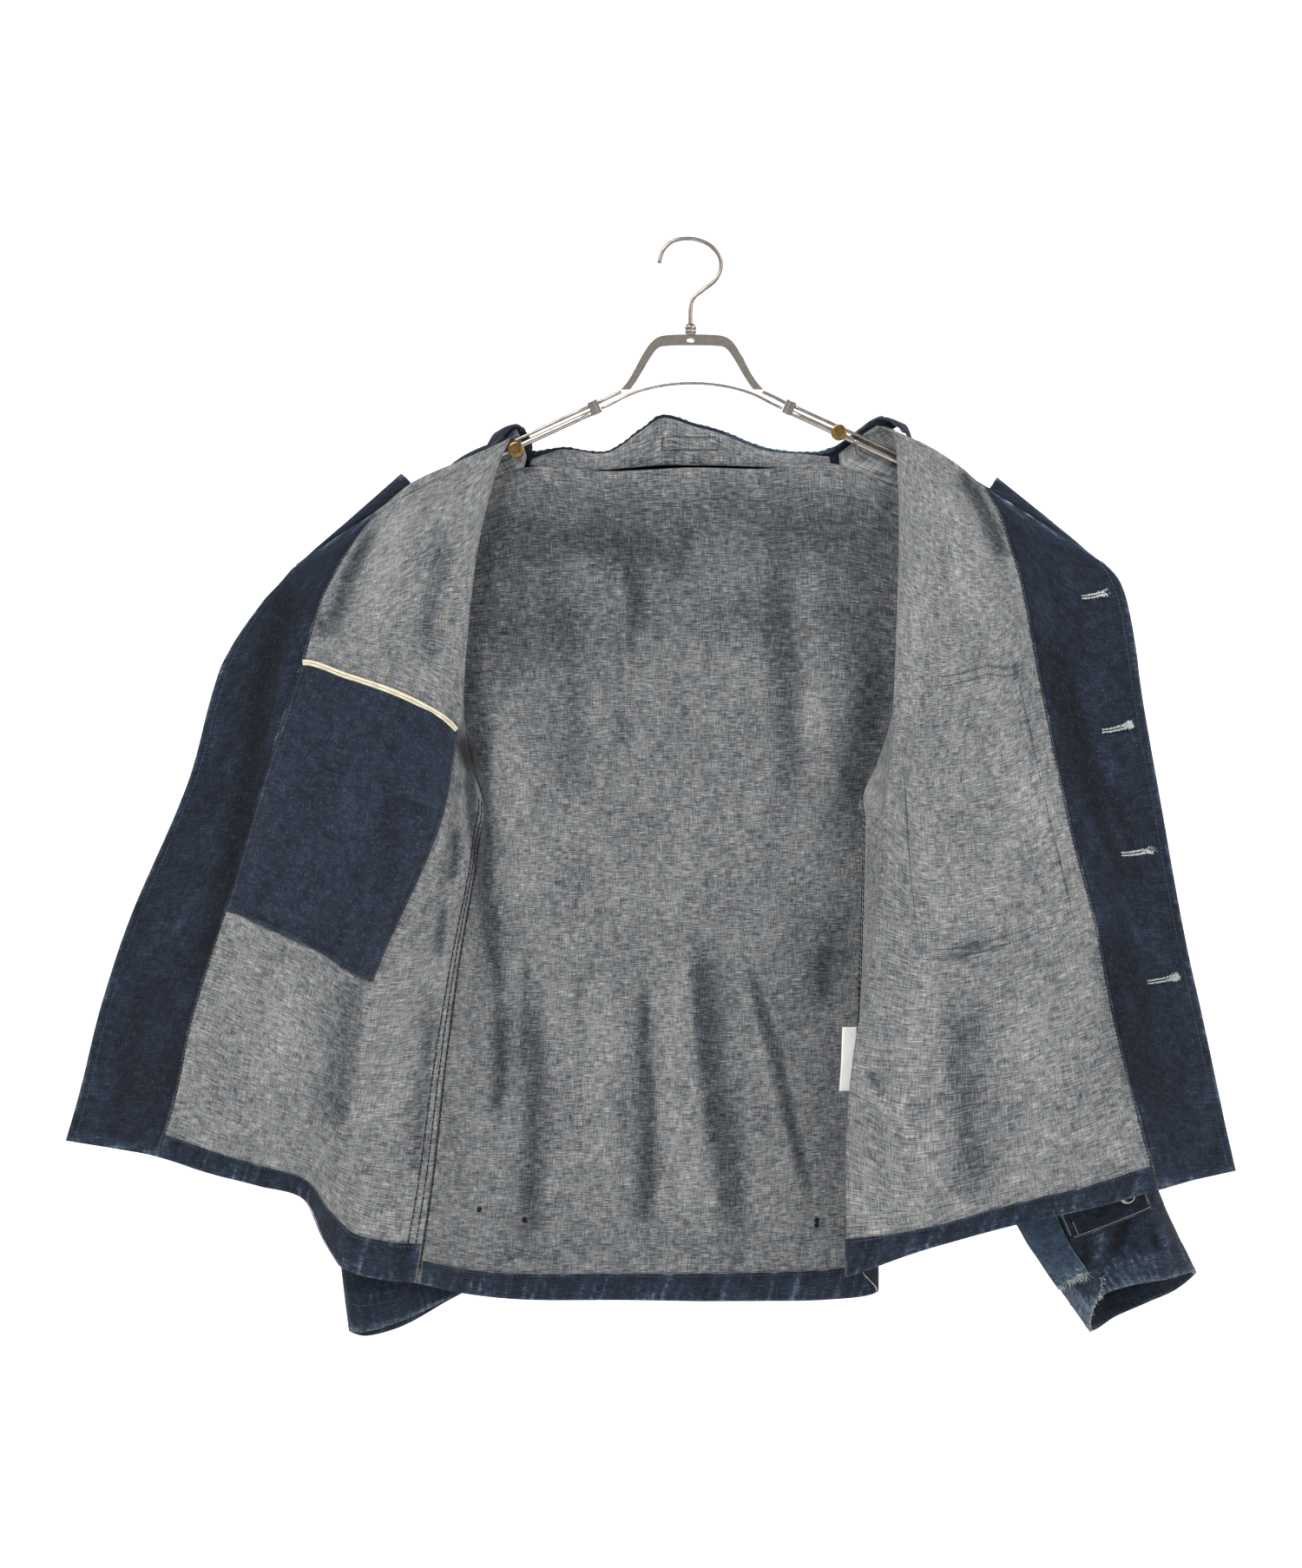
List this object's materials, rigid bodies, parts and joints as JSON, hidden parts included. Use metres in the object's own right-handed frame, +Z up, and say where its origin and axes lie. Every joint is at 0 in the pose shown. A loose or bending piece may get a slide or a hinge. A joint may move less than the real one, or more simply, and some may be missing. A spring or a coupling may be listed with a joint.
{
  "type": "denim work jacket on a clothes hanger",
  "caption": "Unlined indigo denim work jacket, worn and mended, hung open on a steel hanger with its fronts thrown outward so the grey inside shows.",
  "frame": {"origin": "top of the inside of the hanger's hook, where a rail carries it", "axes": "+Z up, the open side with the grey inside faces -Y, +X to the viewer's right, which is the wearer's left"},
  "size_m": [0.9616, 0.1232, 0.9198],
  "materials": {
    "grey_cloth": "matte slubby twill, wrong side out, dark indigo on its other side",
    "indigo_cloth": "matte faded indigo twill with pale slubs",
    "worn_cloth": "matte faded blue twill, rubbed and frayed",
    "label_cloth": "smooth woven tape, blank",
    "button": "dark, half gloss",
    "steel": "satin nickel-plated steel",
    "brass": "knurled brass, dulled"
  },
  "bodies": {
    "root": {"front_right": "grey_cloth", "front_left": "grey_cloth", "back": "grey_cloth", "collar_stand": "grey_cloth", "facing_right": "indigo_cloth", "facing_left": "indigo_cloth", "hem_front_right": "indigo_cloth", "hem_front_left": "indigo_cloth", "hem_back": "indigo_cloth", "inner_pocket": "indigo_cloth", "outer_pocket": "indigo_cloth", "sleeve_right": "indigo_cloth", "sleeve_left": "indigo_cloth", "cuff_right": "indigo_cloth", "cuff_left": "indigo_cloth", "cuff_strap": "indigo_cloth", "collar_fall": "indigo_cloth", "cuff_patch": "worn_cloth", "care_label": "label_cloth", "button_1": "button", "button_2": "button", "button_3": "button", "button_4": "button", "hook": "steel", "ferrule": "steel", "strap": "steel", "bow_rod": "steel", "arm_root_right": "steel", "arm_root_left": "steel", "arm_rod_right": "steel", "arm_rod_left": "steel", "arm_tube_right": "steel", "arm_tube_left": "steel", "clip_right": "steel", "clip_left": "steel", "peg": "steel", "thumbscrew_right": "brass", "thumbscrew_left": "brass"}
  },
  "joints": []
}
